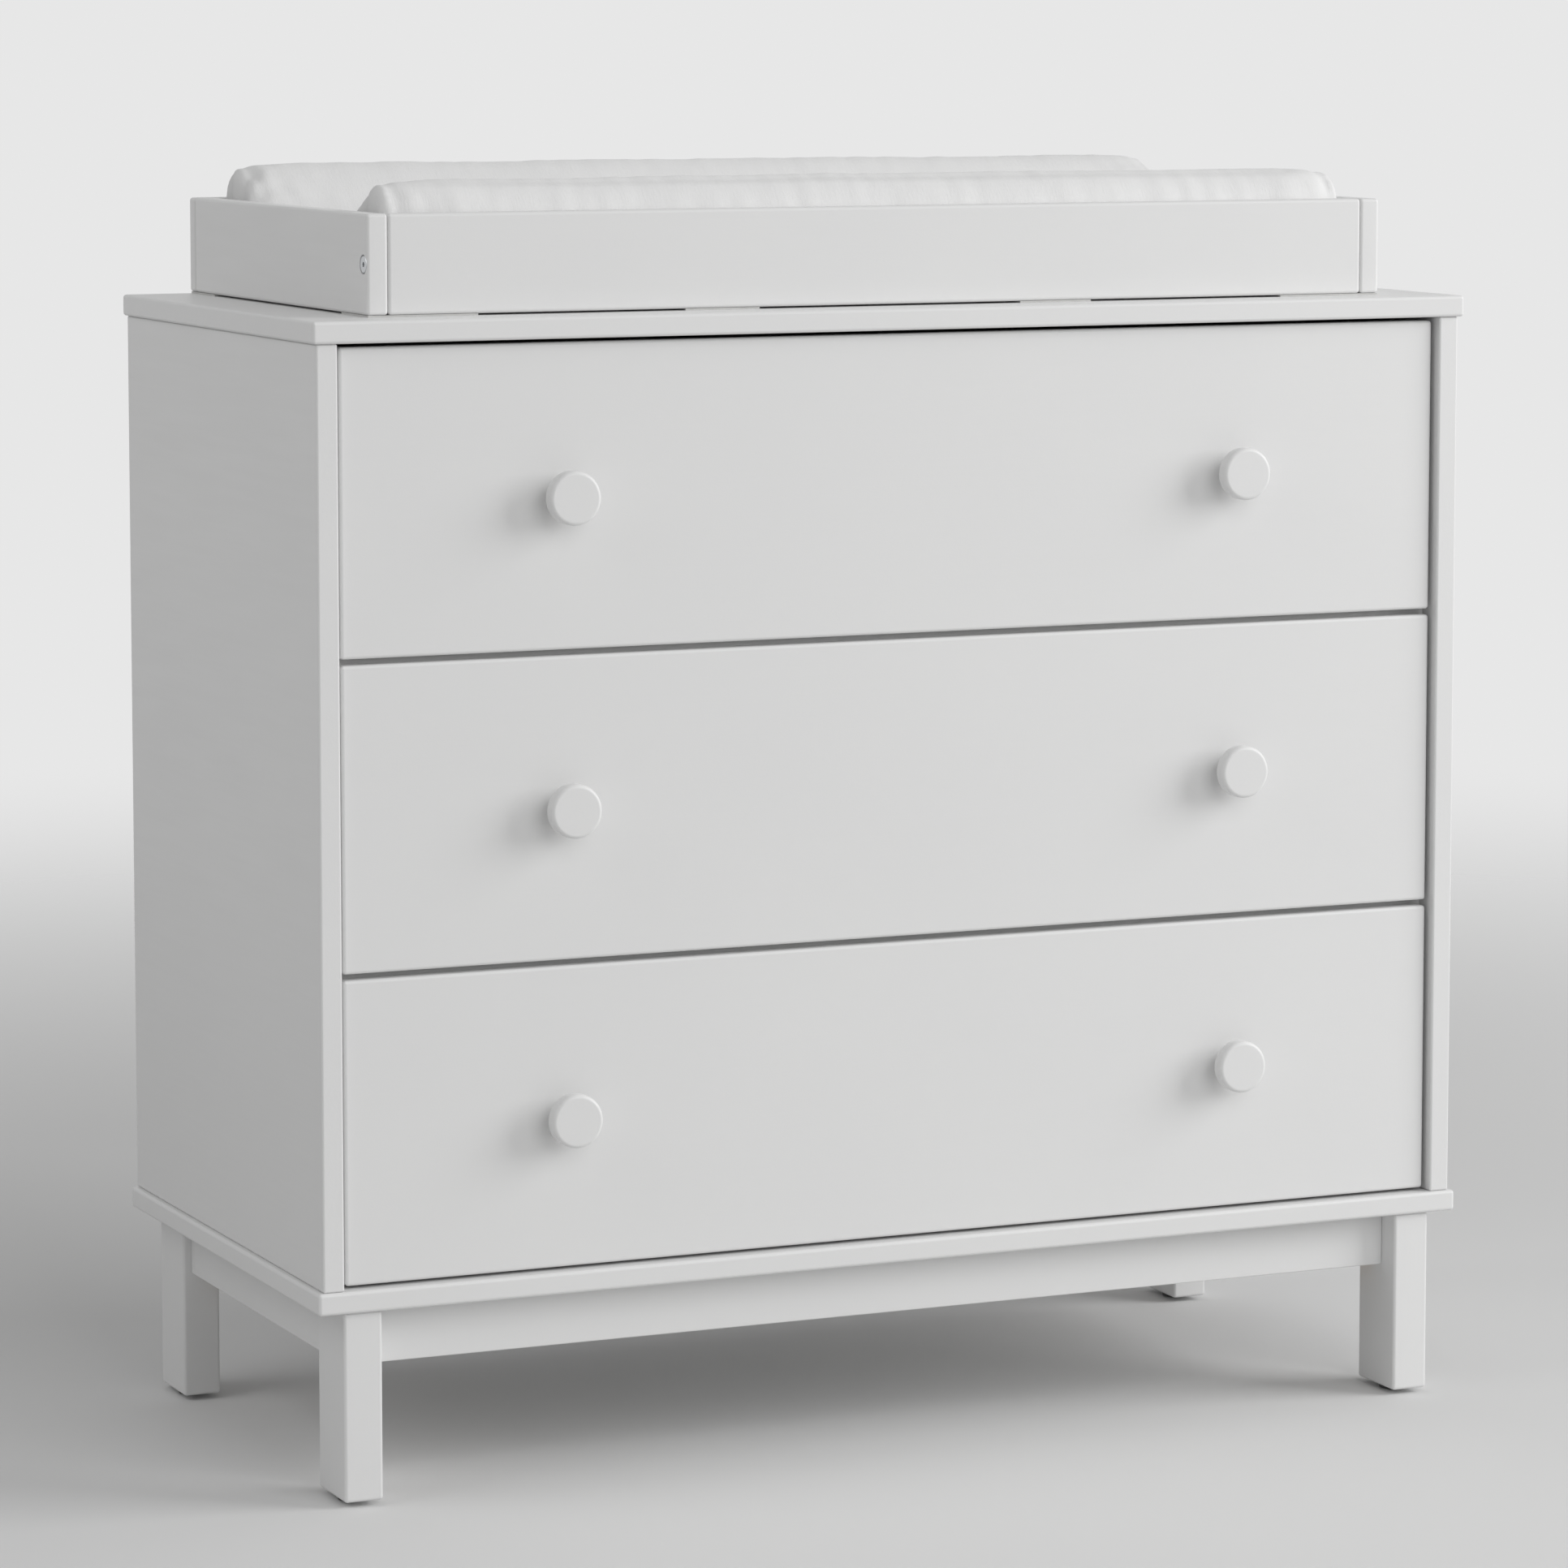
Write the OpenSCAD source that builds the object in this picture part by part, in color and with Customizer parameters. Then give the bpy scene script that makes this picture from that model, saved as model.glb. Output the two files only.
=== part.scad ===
// Three-drawer dresser with a removable changing topper and a contoured pad.
// Millimetres. X runs across the front, the front faces -Y, Z is up, the floor is Z = 0.
// Pieces are drawn in the case frame: X = 0 on the centre line, Y = 0 at the side panels' front edges.

/* [Case] */
// Width over the two side panels
case_w = 1036; // [860:1:1250]
// Depth of the side panels, front to back
case_d = 482; // [400:1:580]
// Height of the side panels, between the bottom and top boards
case_h = 760; // [630:1:920]
// Thickness of the case boards
board_t = 18; // [15:0.5:22]
// Overhang of the top board at the front and at each side
top_overhang = 4; // [0:0.5:20]
// Overhang of the bottom board at each side
bottom_overhang_side = 5; // [0:0.5:20]
// Overhang of the bottom board at the front
bottom_overhang_front = 3; // [0:0.5:20]
// Thickness of the back panel
back_t = 3; // [2.5:0.5:6]
// Set-in of the back panel from the rear edges of the side panels
back_inset = 8; // [4:0.5:20]
// Depth of the groove that holds the back panel
back_groove = 8; // [4:0.5:10]
// Depth of the divider rails, front to back
rail_d = 60; // [40:1:90]

/* [Base] */
// Length of a leg, from its glide to the bottom board
leg_h = 156; // [100:1:220]
// Width of a leg, seen from the front
leg_w = 33; // [24:1:45]
// Depth of a leg, seen from the side
leg_d = 62; // [40:1:80]
// Distance from the side panel's outer face in to the leg
leg_inset_side = 18; // [5:1:40]
// Distance from the side panels' front edges back to the front legs
leg_inset_front = 3; // [0:1:30]
// Distance from the side panels' rear edges in to the rear legs
leg_inset_rear = 9; // [0:1:30]
// Height of the aprons
apron_h = 48; // [30:1:80]
// Thickness of the aprons
apron_t = 18; // [12:1:22]
// Reach of a corner block along the front or rear apron
block_reach = 40; // [25:1:60]
// Thickness of a leg glide
glide_t = 4; // [2:0.5:8]
// Diameter of a leg glide
glide_dia = 22; // [14:1:24]

/* [Drawers] */
// Thickness of a drawer front
front_t = 16; // [12:0.5:20]
// Distance from the side panels' front edges back to the drawer fronts
front_recess = 7; // [2:0.5:15]
// Gap between a drawer front and each side panel
gap_side = 3.5; // [1.5:0.5:6]
// Gap between two drawer fronts
gap_between = 5; // [2:0.5:8]
// Gap under the lowest drawer front
gap_bottom = 2.5; // [1.5:0.5:6]
// Gap over the highest drawer front
gap_top = 3.5; // [1.5:0.5:6]
// Height of the drawer box sides
box_h = 170; // [100:1:175]
// Rise of the box sides over the lower edge of the front
box_rise = 28; // [18:1:30]
// Thickness of the box sides and back
box_t = 12; // [10:0.5:16]
// Free space between a drawer box and the back panel
box_rear_gap = 28; // [10:1:60]
// Thickness of the drawer bottom
base_t = 4; // [3:0.5:6]
// Height of the drawer bottom over the lower edge of the box sides
base_rise = 10; // [6:1:20]
// Depth of the groove that holds the drawer bottom
base_groove = 6; // [4:0.5:7]

/* [Slides] */
// Thickness of a closed slide, which is the free space beside a drawer box
slide_w = 12.7; // [12:0.1:14]
// Height of a slide
slide_h = 45; // [35:1:50]
// Thickness of the slides' sheet steel
steel_t = 1.2; // [1:0.1:1.5]
// Free length of the drawer box at each end of a slide
slide_end_gap = 10; // [5:1:30]
// Running clearance between two members of a slide
slide_clear = 0.3; // [0.2:0.05:0.6]

/* [Knobs] */
// Distance between the two knobs of a drawer
knob_spacing = 610; // [400:1:700]
// Diameter of a knob's disc
knob_dia = 44; // [30:1:55]
// Thickness of a knob's disc
knob_disc_t = 12; // [8:0.5:20]
// Diameter of a knob's neck
neck_dia = 20; // [14:1:24]
// Length of a knob's neck
neck_len = 14; // [5:0.5:20]
// Rounding of a knob's front edge
knob_round = 2; // [1:0.5:4]

/* [Topper] */
// Distance from the side panel's outer face in to the topper's side
topper_inset = 57; // [30:1:120]
// Distance from the side panels' front edges back to the topper
topper_setback = 38; // [10:0.5:80]
// Height of the topper's frame
topper_h = 81; // [60:1:110]
// Thickness of the topper's sides and front rail
topper_t = 18; // [15:0.5:20]
// Thickness of the topper's back rail
back_rail_t = 15; // [12:0.5:18]
// Width of a fixing plate behind the back rail
plate_w = 30; // [20:1:50]
// Thickness of a fixing plate
plate_t = 2; // [1.5:0.5:4]
// Height of a fixing plate on the back rail
plate_rise = 45; // [35:1:55]
// Thickness of the soft feet under the topper
foot_t = 1.5; // [1:0.5:4]
// Length of a soft foot, front to back
foot_d = 62; // [30:1:80]
// Thickness of the cross slats and corner blocks
slat_t = 12; // [8:0.5:18]
// Width of a cross slat
slat_w = 66; // [40:1:90]
// Distance from the centre line to the middle of a slat
slat_offset = 152; // [90:1:200]
// Width of a corner block inside the topper
corner_w = 77; // [40:1:100]

/* [Pad] */
// Free space between the pad and the topper, all round
pad_clear = 3; // [1:0.5:20]
// Height of the pad at its raised sides
pad_h = 95; // [75:1:115]
// Thickness of the pad in the middle of its hollow
pad_mid_h = 44; // [25:1:60]
// Width of a raised side at its foot, front to back
pad_side_w = 130; // [90:1:150]
// Distance from the pad's long edge in to the crest of its raised side
pad_crest = 20; // [12:1:40]

/* [Hidden] */
$fn = 48;
touch = 0.3;
bore_clear = 0.05;
case_half = case_w / 2;
inner_half = case_half - board_t;
leg_base = glide_t;
bottom_z = leg_base + leg_h;
case_z = bottom_z + board_t;
case_top = case_z + case_h;
top_z = case_top + board_t;

// Drawers, numbered from 0 at the bottom
front_w = 2 * (inner_half - gap_side);
front_h = (case_h - gap_bottom - gap_top - 2 * gap_between) / 3;
front_back = front_recess + front_t;
back_front = case_d - back_inset - back_t;
box_end = back_front - box_rear_gap;
box_half = inner_half - slide_w;
box_in = box_half - box_t;
slide_start = front_back + slide_end_gap;
slide_end = box_end - slide_end_gap;
web_gap = slide_clear + steel_t;
function drawer_z(i) = case_z + gap_bottom + i * (front_h + gap_between);
function box_z(i) = drawer_z(i) + box_rise;
function slide_z(i) = box_z(i) + box_h / 2;
function knob_z(i) = drawer_z(i) + front_h / 2;

// Fasteners
screw_r = 2;
screw_head_r = 4.5;
screw_head_t = 2.5;
screw_reach = 10;
cam_r = 7.5;
cam_depth = 12.5;
cam_set = 24;
cam_bolt_r = 3.5;
cam_bolt_reach = 11;
cam_hole_r = 4;
cam_end = 60;
cam_grip = 4;
cam_bolt_len = cam_set - cam_grip + cam_bolt_reach;
bolt_r = 3;
bolt_head_r = 7.5;
bolt_head_t = 2.5;
bolt_seat_r = 8;
bolt_seat = 2.8;
bolt_len = 62;
nut_r = 5;
nut_len = 14;
nut_set = 45;
leg_bolt_reach = 60;
fix_spacing = 600;
fix_reach = 25;
plate_below = 7;
plate_screw_len = 12;
plate_screw_low = 14;
plate_screw_high = 32;

// Topper
topper_half = case_half - topper_inset;
topper_in = topper_half - topper_t;
topper_z = top_z + foot_t;
topper_top = topper_z + topper_h;
rear_rail_y = case_d - back_rail_t;
rail_back = topper_setback + topper_t;
topper_bolt_z = topper_z + topper_h / 2;
topper_bolt_y = topper_setback + topper_t / 2;
topper_bolt_x = topper_half - topper_t / 2;
fix_z = top_z - board_t / 2;
fix_head_y = case_d + plate_t + touch;
foot_edge = 1;

// Pad
pad_half = topper_in - pad_clear;
pad_y0 = rail_back + pad_clear;
pad_y1 = rear_rail_y - pad_clear;
pad_z = topper_z + slat_t + touch;
pad_edge_share = 0.6;
pad_round_steps = 6;
pad_slope_steps = 12;

// The part's origin is on the floor, under the middle of its bounding box
reach_front = max(neck_len + knob_disc_t - front_recess, top_overhang, bottom_overhang_front);
reach_back = fix_head_y + screw_head_t;
y_shift = (reach_front - reach_back) / 2;

// Moves a piece from the case frame into the part's frame
module in_case() {
    translate([0, y_shift, 0]) children();
}

// A board between two opposite corners
module board(low, high) {
    translate(low) cube(high - low);
}

// A round bar along an axis, from a point, by a length
module rod_x(p, r, len) {
    translate(p) rotate([0, 90, 0]) cylinder(r = r, h = len);
}
module rod_y(p, r, len) {
    translate(p) rotate([-90, 0, 0]) cylinder(r = r, h = len);
}
module rod_z(p, r, len) {
    translate(p) cylinder(r = r, h = len);
}

// Children on the right and mirrored on the left
module both_sides() {
    children();
    mirror([1, 0, 0]) children();
}

// ---- Case ----

// Places of the cam fittings along the depth of a side panel
cam_ys = [cam_end, case_d - cam_end];
function divider_z(i) = drawer_z(i + 1) - gap_between / 2 - board_t / 2;
divider_y = front_back + 1.5;

// Bores for the cam bolts of the top and bottom boards, and for the divider rails' bolts
module cam_bolt_bores(r) {
    both_sides() {
        for (y = cam_ys) {
            rod_z([case_half - board_t / 2, y, case_top - cam_set + cam_grip], r, cam_bolt_len);
            rod_z([case_half - board_t / 2, y, case_z - cam_bolt_reach], r, cam_bolt_len);
        }
        for (i = [0, 1])
            rod_x([inner_half - cam_set + cam_grip, divider_y + rail_d / 2, divider_z(i) + board_t / 2], r,
                cam_bolt_len);
    }
}

// Round seats of the cam locks
module cam_seats(r) {
    both_sides() {
        for (y = cam_ys, z = [case_top - cam_set, case_z + cam_set])
            rod_x([inner_half, y, z], r, cam_depth);
        for (i = [0, 1])
            rod_z([inner_half - cam_set, divider_y + rail_d / 2, divider_z(i)], r, cam_depth);
    }
}

module side_panel() {
    in_case() difference() {
        board([inner_half, 0, case_z], [case_half, case_d, case_top]);
        board([inner_half - 1, back_front - touch / 2, case_z - 1],
            [inner_half + back_groove, back_front + back_t + touch / 2, case_top + 1]);
        cam_seats(cam_r + bore_clear);
        cam_bolt_bores(cam_hole_r);
    }
}

module side_panel_left() {
    color("whitesmoke") mirror([1, 0, 0]) side_panel();
}

module side_panel_right() {
    color("whitesmoke") side_panel();
}

module top_board() {
    color("whitesmoke") in_case() difference() {
        board([-case_half - top_overhang, -top_overhang, case_top],
              [case_half + top_overhang, case_d, top_z]);
        cam_bolt_bores(cam_bolt_r + bore_clear);
        both_sides()
            rod_y([fix_spacing / 2, case_d - fix_reach, fix_z], screw_r + bore_clear, fix_reach + 1);
    }
}

module bottom_board() {
    color("whitesmoke") in_case() difference() {
        board([-case_half - bottom_overhang_side, -bottom_overhang_front, bottom_z],
            [case_half + bottom_overhang_side, case_d, case_z]);
        cam_bolt_bores(cam_bolt_r + bore_clear);
        leg_bolt_bores(bolt_r + bore_clear);
    }
}

module back_panel() {
    color("gainsboro") in_case()
        board([-inner_half - back_groove + touch, back_front, case_z],
            [inner_half + back_groove - touch, back_front + back_t, case_top]);
}

module divider_rails() {
    color("whitesmoke") in_case() difference() {
        for (i = [0, 1])
            board([-inner_half, divider_y, divider_z(i)],
                  [inner_half, divider_y + rail_d, divider_z(i) + board_t]);
        cam_seats(cam_r + bore_clear);
        cam_bolt_bores(cam_hole_r);
    }
}

module cam_fittings() {
    color("silver") in_case() {
        cam_seats(cam_r);
        cam_bolt_bores(cam_bolt_r);
    }
}

// ---- Base ----

leg_out = case_half - leg_inset_side;
leg_in = leg_out - leg_w;
leg_rear = case_d - leg_inset_rear - leg_d;
base_span = case_d - leg_inset_rear + leg_inset_front;
apron_z = bottom_z - apron_h;
apron_front_y = leg_inset_front + (leg_d - apron_t) / 2;
apron_side_x = leg_in + (leg_w - apron_t) / 2;
leg_mid_x = leg_in + leg_w / 2;
leg_mid_ys = [leg_inset_front + leg_d / 2, leg_rear + leg_d / 2];

module leg_bolt_bores(r) {
    both_sides() for (y = leg_mid_ys)
        rod_z([leg_mid_x, y, bottom_z - leg_bolt_reach], r, leg_bolt_reach + board_t);
}

module leg(y) {
    in_case() difference() {
        board([leg_in, y, leg_base], [leg_out, y + leg_d, bottom_z]);
        leg_bolt_bores(bolt_r + bore_clear);
    }
}

module leg_front_left() {
    color("whitesmoke") mirror([1, 0, 0]) leg(leg_inset_front);
}

module leg_front_right() {
    color("whitesmoke") leg(leg_inset_front);
}

module leg_rear_left() {
    color("whitesmoke") mirror([1, 0, 0]) leg(leg_rear);
}

module leg_rear_right() {
    color("whitesmoke") leg(leg_rear);
}

module apron_front() {
    color("whitesmoke") in_case()
        board([-leg_in, apron_front_y, apron_z], [leg_in, apron_front_y + apron_t, bottom_z]);
}

module apron_rear() {
    color("whitesmoke") in_case()
        board([-leg_in, base_span - apron_front_y - apron_t, apron_z],
              [leg_in, base_span - apron_front_y, bottom_z]);
}

module side_apron() {
    in_case() board([apron_side_x, leg_inset_front + leg_d, apron_z],
          [apron_side_x + apron_t, leg_rear, bottom_z]);
}

module apron_left() {
    color("whitesmoke") mirror([1, 0, 0]) side_apron();
}

module apron_right() {
    color("whitesmoke") side_apron();
}

// A block in the corner that a leg, an end apron and a side apron make
module corner_block() {
    face_y = apron_front_y + apron_t;
    leg_end = leg_inset_front + leg_d;
    translate([0, 0, apron_z]) linear_extrude(apron_h)
        polygon([[leg_in - block_reach, face_y], [leg_in, face_y], [leg_in, leg_end],
            [apron_side_x, leg_end], [apron_side_x, leg_end + block_reach]]);
}

module corner_blocks() {
    color("burlywood") in_case() both_sides() {
        corner_block();
        translate([0, base_span, 0]) mirror([0, 1, 0]) corner_block();
    }
}

module leg_bolts() {
    color("silver") in_case() {
        leg_bolt_bores(bolt_r);
        both_sides() for (y = leg_mid_ys)
            rod_z([leg_mid_x, y, case_z], bolt_head_r, bolt_head_t);
    }
}

module leg_glides() {
    color("dimgray") in_case() both_sides() for (y = leg_mid_ys)
        rod_z([leg_mid_x, y, 0], glide_dia / 2, glide_t);
}

// ---- Slides ----

// One channel of a slide: its web, and two flanges that point back along X by its reach
module channel(i, web_x, flange_x, half) {
    x0 = min(web_x, flange_x);
    x1 = max(web_x + steel_t, flange_x);
    z = slide_z(i);
    y0 = slide_start;
    y1 = slide_end;
    board([web_x, y0, z - half], [web_x + steel_t, y1, z + half]);
    board([x0, y0, z - half], [x1, y1, z - half + steel_t]);
    board([x0, y0, z + half - steel_t], [x1, y1, z + half]);
}

module cabinet_slides() {
    color("silver") in_case() both_sides() for (i = [0, 1, 2])
        channel(i, inner_half - steel_t, box_half + 3, slide_h / 2);
}

module middle_slides(i) {
    color("silver") in_case() both_sides()
        channel(i, inner_half - steel_t - web_gap, box_half + web_gap, slide_h / 2 - web_gap);
}

module drawer_slides(i) {
    color("silver") in_case() both_sides()
        channel(i, box_half, inner_half - steel_t - web_gap - 2 * slide_clear, slide_h / 2 - 2 * web_gap);
}

// ---- Drawers ----

// Bores for the knob screws, through the front and into the knobs
module knob_screw_bores(i, r) {
    both_sides() rod_y([knob_spacing / 2, front_recess - screw_reach, knob_z(i)], r, screw_reach + front_t);
}

// The drawer bottom with its edges in the grooves of the front, sides and back
module drawer_base(i, extra) {
    z = box_z(i) + base_rise;
    board([-box_in - base_groove + touch - extra, front_back - base_groove + touch - extra, z - extra / 2],
        [box_in + base_groove - touch + extra,
         box_end - box_t + base_groove - touch + extra, z + base_t + extra / 2]);
}

module drawer_front(i) {
    color("whitesmoke") in_case() difference() {
        board([-front_w / 2, front_recess, drawer_z(i)], [front_w / 2, front_back, drawer_z(i) + front_h]);
        knob_screw_bores(i, screw_r + bore_clear);
        drawer_base(i, touch);
    }
}

module drawer_side(i) {
    color("wheat") in_case() difference() {
        board([box_in, front_back, box_z(i)], [box_half, box_end, box_z(i) + box_h]);
        drawer_base(i, touch);
    }
}

module drawer_back(i) {
    color("wheat") in_case() difference() {
        board([-box_in, box_end - box_t, box_z(i)], [box_in, box_end, box_z(i) + box_h]);
        drawer_base(i, touch);
    }
}

module drawer_bottom(i) {
    color("white") in_case() drawer_base(i, 0);
}

// Two turned knobs, each a neck and a disc with a rounded front edge
module knobs(i) {
    color("whitesmoke") in_case() difference() {
        both_sides() translate([knob_spacing / 2, front_recess, knob_z(i)])
            rotate([90, 0, 0]) rotate_extrude() {
            square([neck_dia / 2, neck_len]);
            translate([0, neck_len]) square([knob_dia / 2, knob_disc_t - knob_round]);
            translate([0, neck_len]) square([knob_dia / 2 - knob_round, knob_disc_t]);
            translate([knob_dia / 2 - knob_round, neck_len + knob_disc_t - knob_round])
                circle(r = knob_round);
        }
        knob_screw_bores(i, screw_r + bore_clear);
    }
}

module knob_screws(i) {
    color("silver") in_case() {
        knob_screw_bores(i, screw_r);
        both_sides() rod_y([knob_spacing / 2, front_back, knob_z(i)], screw_head_r, screw_head_t);
    }
}

module top_drawer_front() { drawer_front(2); }
module top_drawer_left_side() { mirror([1, 0, 0]) drawer_side(2); }
module top_drawer_right_side() { drawer_side(2); }
module top_drawer_back() { drawer_back(2); }
module top_drawer_bottom() { drawer_bottom(2); }
module top_drawer_knobs() { knobs(2); }
module top_drawer_knob_screws() { knob_screws(2); }
module top_drawer_slides() { drawer_slides(2); }
module top_middle_slides() { middle_slides(2); }

module middle_drawer_front() { drawer_front(1); }
module middle_drawer_left_side() { mirror([1, 0, 0]) drawer_side(1); }
module middle_drawer_right_side() { drawer_side(1); }
module middle_drawer_back() { drawer_back(1); }
module middle_drawer_bottom() { drawer_bottom(1); }
module middle_drawer_knobs() { knobs(1); }
module middle_drawer_knob_screws() { knob_screws(1); }
module middle_drawer_slides() { drawer_slides(1); }
module middle_middle_slides() { middle_slides(1); }

module bottom_drawer_front() { drawer_front(0); }
module bottom_drawer_left_side() { mirror([1, 0, 0]) drawer_side(0); }
module bottom_drawer_right_side() { drawer_side(0); }
module bottom_drawer_back() { drawer_back(0); }
module bottom_drawer_bottom() { drawer_bottom(0); }
module bottom_drawer_knobs() { knobs(0); }
module bottom_drawer_knob_screws() { knob_screws(0); }
module bottom_drawer_slides() { drawer_slides(0); }
module bottom_middle_slides() { middle_slides(0); }

// ---- Topper ----

// Shanks of the frame bolts: across at the front, front to back at the rear
module topper_bolt_bores(r) {
    both_sides() {
        rod_x([topper_half - bolt_len, topper_bolt_y, topper_bolt_z], r, bolt_len - bolt_seat);
        rod_y([topper_bolt_x, case_d - bolt_len, topper_bolt_z], r, bolt_len - bolt_seat);
    }
}

// Heads of the frame bolts, or their round seats
module topper_bolt_heads(r, len) {
    both_sides() {
        rod_x([topper_half - bolt_seat, topper_bolt_y, topper_bolt_z], r, len);
        rod_y([topper_bolt_x, case_d - bolt_seat, topper_bolt_z], r, len);
    }
}

// Barrel nuts of the front bolts, in the front rail, and of the rear bolts, in the sides
module barrel_nut_bars(r) {
    both_sides() {
        rod_y([topper_half - topper_t - nut_set + nut_r, rail_back - nut_len, topper_bolt_z], r, nut_len);
        rod_x([topper_in, rear_rail_y - nut_set + nut_r, topper_bolt_z], r, nut_len);
    }
}

module topper_side() {
    in_case() difference() {
        board([topper_in, topper_setback, topper_z], [topper_half, rear_rail_y, topper_top]);
        topper_bolt_bores(bolt_r + bore_clear);
        topper_bolt_heads(bolt_seat_r, bolt_seat + 1);
        barrel_nut_bars(nut_r + bore_clear);
    }
}

module topper_left_side() {
    color("whitesmoke") mirror([1, 0, 0]) topper_side();
}

module topper_right_side() {
    color("whitesmoke") topper_side();
}

module topper_front_rail() {
    color("whitesmoke") in_case() difference() {
        board([-topper_in, topper_setback, topper_z], [topper_in, rail_back, topper_top]);
        topper_bolt_bores(bolt_r + bore_clear);
        barrel_nut_bars(nut_r + bore_clear);
    }
}

module topper_back_rail() {
    color("whitesmoke") in_case() difference() {
        board([-topper_half, rear_rail_y, topper_z], [topper_half, case_d, topper_top]);
        topper_bolt_bores(bolt_r + bore_clear);
        topper_bolt_heads(bolt_seat_r, bolt_seat + 1);
        plate_screw_shanks(screw_r + bore_clear);
    }
}

module topper_slats() {
    color("whitesmoke") in_case() both_sides()
        board([slat_offset - slat_w / 2, rail_back, topper_z],
              [slat_offset + slat_w / 2, rear_rail_y, topper_z + slat_t]);
}

module topper_corner_blocks() {
    reach = foot_d - topper_t + foot_edge;
    color("whitesmoke") in_case() both_sides() {
        board([topper_in - corner_w, rail_back, topper_z],
              [topper_in, rail_back + reach, topper_z + slat_t]);
        board([topper_in - corner_w, rear_rail_y - reach, topper_z],
              [topper_in, rear_rail_y, topper_z + slat_t]);
    }
}

module topper_bolts() {
    color("silver") in_case() {
        topper_bolt_bores(bolt_r);
        topper_bolt_heads(bolt_head_r, bolt_head_t);
    }
}

module topper_barrel_nuts() {
    color("silver") in_case() difference() {
        barrel_nut_bars(nut_r);
        topper_bolt_bores(bolt_r + bore_clear);
    }
}

module topper_feet() {
    front_y = topper_setback + foot_edge;
    rear_y = case_d - foot_edge - foot_d;
    color("gainsboro") in_case() both_sides() for (y = [front_y, rear_y]) {
        board([slat_offset - slat_w / 2, y, top_z], [slat_offset + slat_w / 2, y + foot_d, topper_z]);
        board([topper_in - corner_w, y, top_z], [topper_half - foot_edge, y + foot_d, topper_z]);
    }
}

// Shanks of the screws that hold the fixing plates to the back rail
module plate_screw_shanks(r) {
    both_sides() for (rise = [plate_screw_low, plate_screw_high])
        rod_y([fix_spacing / 2, case_d - plate_screw_len, topper_z + rise], r, plate_screw_len + plate_t);
}

// Steel plates behind the back rail, whose slots drop over the screws in the top board's rear edge
module fixing_plates() {
    slot_r = screw_r + touch;
    y = case_d - 1;
    depth = plate_t + 2;
    color("silver") in_case() difference() {
        both_sides() board([fix_spacing / 2 - plate_w / 2, case_d, fix_z - plate_below],
            [fix_spacing / 2 + plate_w / 2, case_d + plate_t, topper_z + plate_rise]);
        both_sides() {
            rod_y([fix_spacing / 2, y, fix_z], slot_r, depth);
            board([fix_spacing / 2 - slot_r, y, fix_z - plate_below - 1],
                [fix_spacing / 2 + slot_r, y + depth, fix_z]);
        }
        plate_screw_shanks(screw_r + bore_clear);
    }
}

module fixing_plate_screws() {
    color("silver") in_case() {
        plate_screw_shanks(screw_r);
        both_sides() for (rise = [plate_screw_low, plate_screw_high])
            rod_y([fix_spacing / 2, case_d + plate_t, topper_z + rise], screw_head_r, screw_head_t);
    }
}

// Screws in the rear edge of the top board, with their heads behind the fixing plates
module topper_screws() {
    color("silver") in_case() both_sides() {
        rod_y([fix_spacing / 2, case_d - fix_reach, fix_z], screw_r, fix_head_y - case_d + fix_reach);
        rod_y([fix_spacing / 2, fix_head_y, fix_z], screw_head_r, screw_head_t);
    }
}

// ---- Pad ----

// Height of the pad at a distance in from its long edge: a rounded outer side, then a slope to the hollow
function pad_rise(d) = d < pad_crest
    ? pad_h * (pad_edge_share + (1 - pad_edge_share) * sin(acos(1 - d / pad_crest)))
    : pad_mid_h + (pad_h - pad_mid_h) * (1 + cos(180 * (d - pad_crest) / (pad_side_w - pad_crest))) / 2;

module changing_pad() {
    span = pad_y1 - pad_y0;
    round_ds = [for (k = [0:pad_round_steps]) pad_crest * (1 - cos(90 * k / pad_round_steps))];
    slope_ds = [for (k = [1:pad_slope_steps]) pad_crest + (pad_side_w - pad_crest) * k / pad_slope_steps];
    ds = concat(round_ds, slope_ds);
    side = [for (d = ds) [d, pad_rise(d)]];
    other = [for (k = [len(ds) - 1:-1:0]) [span - ds[k], pad_rise(ds[k])]];
    color("white") in_case()
        translate([-pad_half, pad_y0, pad_z]) rotate([90, 0, 90]) linear_extrude(2 * pad_half)
            polygon(concat([[0, 0]], side, other, [[span, 0]]));
}

top_board();
side_panel_left();
side_panel_right();
bottom_board();
back_panel();
divider_rails();
leg_front_left();
leg_front_right();
leg_rear_left();
leg_rear_right();
apron_front();
apron_rear();
apron_left();
apron_right();
corner_blocks();
leg_bolts();
leg_glides();
cam_fittings();
cabinet_slides();
topper_screws();
top_drawer_front();
top_drawer_left_side();
top_drawer_right_side();
top_drawer_back();
top_drawer_bottom();
top_drawer_knobs();
top_drawer_knob_screws();
top_drawer_slides();
top_middle_slides();
middle_drawer_front();
middle_drawer_left_side();
middle_drawer_right_side();
middle_drawer_back();
middle_drawer_bottom();
middle_drawer_knobs();
middle_drawer_knob_screws();
middle_drawer_slides();
middle_middle_slides();
bottom_drawer_front();
bottom_drawer_left_side();
bottom_drawer_right_side();
bottom_drawer_back();
bottom_drawer_bottom();
bottom_drawer_knobs();
bottom_drawer_knob_screws();
bottom_drawer_slides();
bottom_middle_slides();
topper_left_side();
topper_right_side();
topper_front_rail();
topper_back_rail();
topper_slats();
topper_corner_blocks();
topper_bolts();
topper_barrel_nuts();
topper_feet();
fixing_plates();
fixing_plate_screws();
changing_pad();
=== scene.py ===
import math

import bmesh
import bpy
from mathutils import Matrix, Vector, noise


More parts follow.
